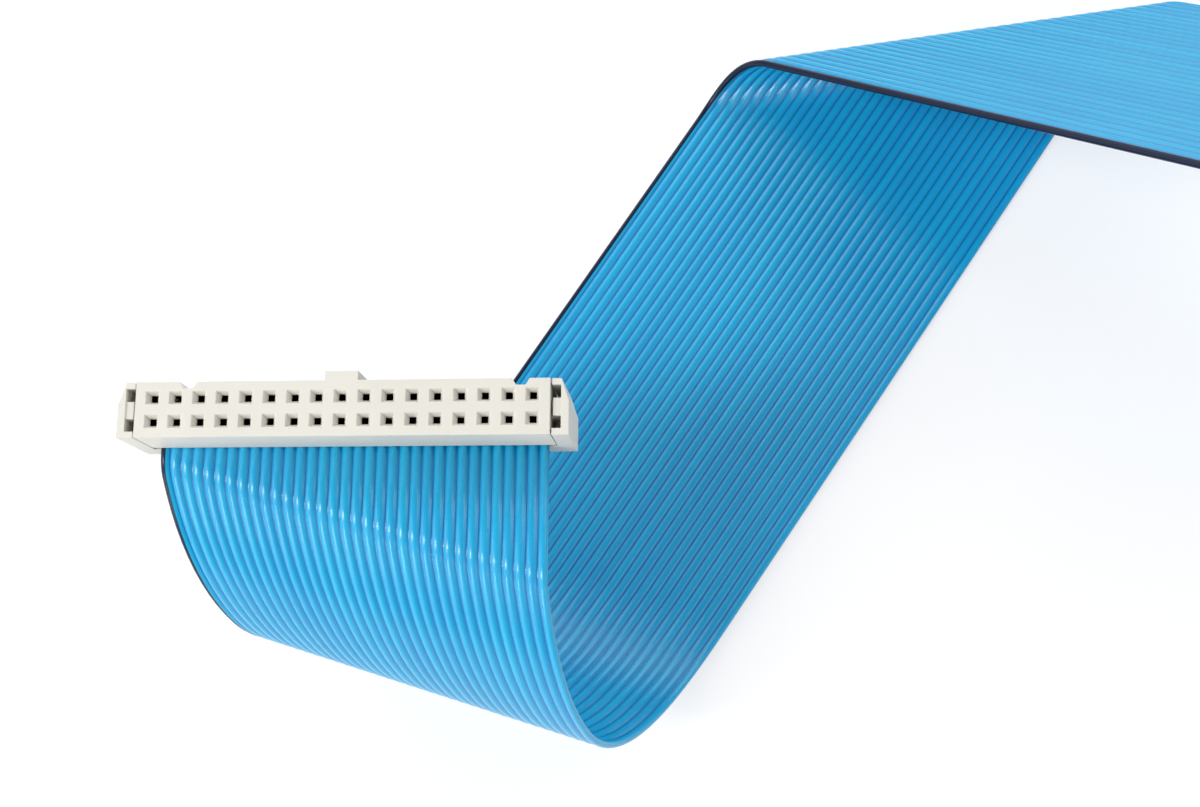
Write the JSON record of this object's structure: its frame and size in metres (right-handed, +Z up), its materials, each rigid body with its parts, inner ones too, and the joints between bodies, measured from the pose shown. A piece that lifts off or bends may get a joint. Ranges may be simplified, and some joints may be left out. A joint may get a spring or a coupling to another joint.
{
  "type": "ribbon cable",
  "caption": "Flat ribbed ribbon cable with a dark marked edge wire and a crimped two-row pin socket on each end, lying with one end looped back over itself",
  "frame": {"origin": "On the surface the cable lies on, under the middle of its footprint.", "axes": "X runs along the length of the first socket, which is also the long way of the laid-out cable; Y points from the ribbon side of the first socket to its key side; Z is up, out of both mating faces."},
  "size_m": [0.2584, 0.1166, 0.0512],
  "materials": {
    "ribbon_blue": "glossy blue insulation",
    "marked_dark": "glossy dark insulation",
    "socket_ivory": "moulded ivory plastic",
    "contact_metal": "plated stamped sheet"
  },
  "bodies": {
    "root": {"ribbon_wires": "ribbon_blue", "marked_wire": "marked_dark", "near_base": "socket_ivory", "near_cover": "socket_ivory", "far_base": "socket_ivory", "far_cover": "socket_ivory", "near_contacts_1": "contact_metal", "near_contacts_2": "contact_metal", "near_contacts_3": "contact_metal", "near_contacts_4": "contact_metal", "near_contacts_5": "contact_metal", "near_contacts_6": "contact_metal", "near_contacts_7": "contact_metal", "near_contacts_8": "contact_metal", "near_contacts_9": "contact_metal", "near_contacts_10": "contact_metal", "near_contacts_11": "contact_metal", "near_contacts_12": "contact_metal", "near_contacts_13": "contact_metal", "near_contacts_14": "contact_metal", "near_contacts_15": "contact_metal", "near_contacts_16": "contact_metal", "near_contacts_17": "contact_metal", "far_contacts_1": "contact_metal", "far_contacts_2": "contact_metal", "far_contacts_3": "contact_metal", "far_contacts_4": "contact_metal", "far_contacts_5": "contact_metal", "far_contacts_6": "contact_metal", "far_contacts_7": "contact_metal", "far_contacts_8": "contact_metal", "far_contacts_9": "contact_metal", "far_contacts_10": "contact_metal", "far_contacts_11": "contact_metal", "far_contacts_12": "contact_metal", "far_contacts_13": "contact_metal", "far_contacts_14": "contact_metal", "far_contacts_15": "contact_metal", "far_contacts_16": "contact_metal", "far_contacts_17": "contact_metal"}
  },
  "joints": []
}
